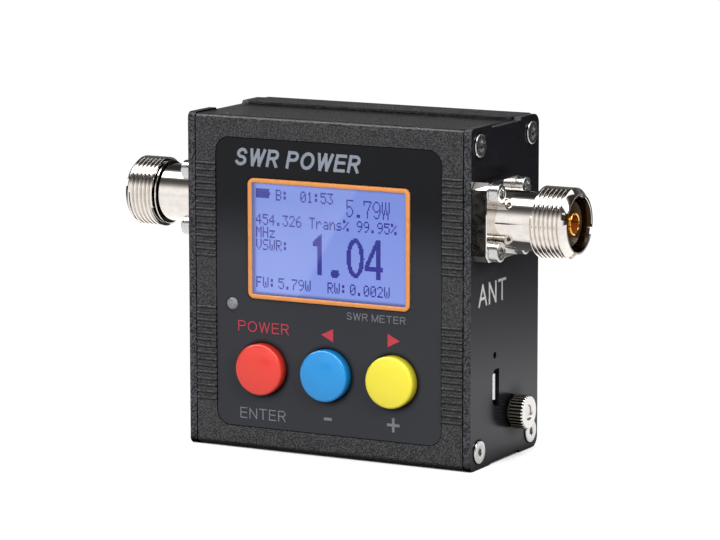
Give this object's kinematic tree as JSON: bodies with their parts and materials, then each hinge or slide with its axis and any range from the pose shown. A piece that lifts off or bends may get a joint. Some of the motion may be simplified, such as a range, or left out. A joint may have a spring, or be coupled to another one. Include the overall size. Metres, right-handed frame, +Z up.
{
  "type": "swr power meter",
  "caption": "Black box meter for radio antennas with a backlit display, coloured push buttons, a threaded coaxial jack on each side, a charging socket and a knurled ground terminal.",
  "frame": {"origin": "bottom centre of the overall box, on the surface that the meter stands on", "axes": "+X towards the antenna jack (right), +Y from the front panel to the rear, +Z up"},
  "size_m": [0.1128, 0.0372, 0.076],
  "materials": {
    "case_aluminium": "black anodised, bead blasted",
    "plate_aluminium": "black anodised, satin",
    "panel_black": "black satin overlay with printed legends",
    "bezel_orange": "orange gloss",
    "window_clear": "clear polished",
    "lcd_blue": "backlit blue liquid crystal",
    "backlight_white": "white diffuser",
    "board_green": "green solder mask",
    "component_black": "moulded black",
    "led_lens": "grey diffused lens, unlit",
    "cap_red": "satin red",
    "cap_blue": "satin blue",
    "cap_yellow": "satin yellow",
    "jack_nickel": "polished nickel plate",
    "insulator_brown": "dark brown phenolic",
    "contact_gold": "gold plated",
    "screw_steel": "plain stainless",
    "knob_black": "black with a bare turned face",
    "copper": "bare copper",
    "tinned_sheet": "tinned sheet",
    "cell_foil": "silver foil pouch",
    "tape_white": "foam tape",
    "connector_white": "moulded white",
    "lead_red": "insulated wire"
  },
  "bodies": {
    "meter": {"front_shell": "case_aluminium", "rear_shell": "case_aluminium", "left_end_plate": "plate_aluminium", "right_end_plate": "plate_aluminium", "left_plate_screws": "screw_steel", "right_plate_screws": "screw_steel", "front_panel": "panel_black", "display_bezel": "bezel_orange", "display_window": "window_clear", "lcd_cell": "lcd_blue", "lcd_backlight": "backlight_white", "display_board": "board_green", "display_header": "component_black", "status_led": "led_lens", "switch_bodies": "component_black", "main_board": "board_green", "microcontroller": "component_black", "through_line": "copper", "coupler_shield": "tinned_sheet", "usb_socket": "tinned_sheet", "charge_light": "connector_white", "battery_cell": "cell_foil", "battery_tape": "tape_white", "battery_connector": "connector_white", "battery_leads": "lead_red", "ant_jack_shell": "jack_nickel", "ant_jack_insulator": "insulator_brown", "ant_jack_contact": "contact_gold", "ant_jack_spacer": "jack_nickel", "ant_jack_screws": "screw_steel", "ant_jack_washers": "screw_steel", "tx_jack_shell": "jack_nickel", "tx_jack_insulator": "insulator_brown", "tx_jack_contact": "contact_gold", "tx_jack_screws": "screw_steel", "tx_jack_washers": "screw_steel", "ground_stud": "screw_steel", "ground_nut": "screw_steel"},
    "power_button": {"power_cap": "cap_red", "power_plunger": "component_black"},
    "minus_button": {"minus_cap": "cap_blue", "minus_plunger": "component_black"},
    "plus_button": {"plus_cap": "cap_yellow", "plus_plunger": "component_black"},
    "ground_washer": {"ground_washer": "screw_steel"},
    "ground_knob": {"ground_knob": "knob_black"}
  },
  "joints": [
    {"name": "power_press", "type": "slide", "parent": "meter", "child": "power_button", "axis": [0, 1, 0], "range_m": [0, 0.0003], "stiffness_N_per_m": 3000, "springref_m": -0.0003},
    {"name": "minus_press", "type": "slide", "parent": "meter", "child": "minus_button", "axis": [0, 1, 0], "range_m": [0, 0.0003], "stiffness_N_per_m": 3000, "springref_m": -0.0003},
    {"name": "plus_press", "type": "slide", "parent": "meter", "child": "plus_button", "axis": [0, 1, 0], "range_m": [0, 0.0003], "stiffness_N_per_m": 3000, "springref_m": -0.0003},
    {"name": "ground_lift", "type": "slide", "parent": "meter", "child": "ground_washer", "axis": [1, 0, 0], "range_m": [0, 0.0015]},
    {"name": "ground_turn", "type": "hinge", "parent": "ground_washer", "child": "ground_knob", "pos_m": [0.0346, 0.006, 0.01015], "axis": [1, 0, 0], "range_deg": [0, 1080]}
  ],
  "couplings": [
    {"joint": "ground_turn", "follows": "ground_lift", "rad_per_m": 12566}
  ]
}
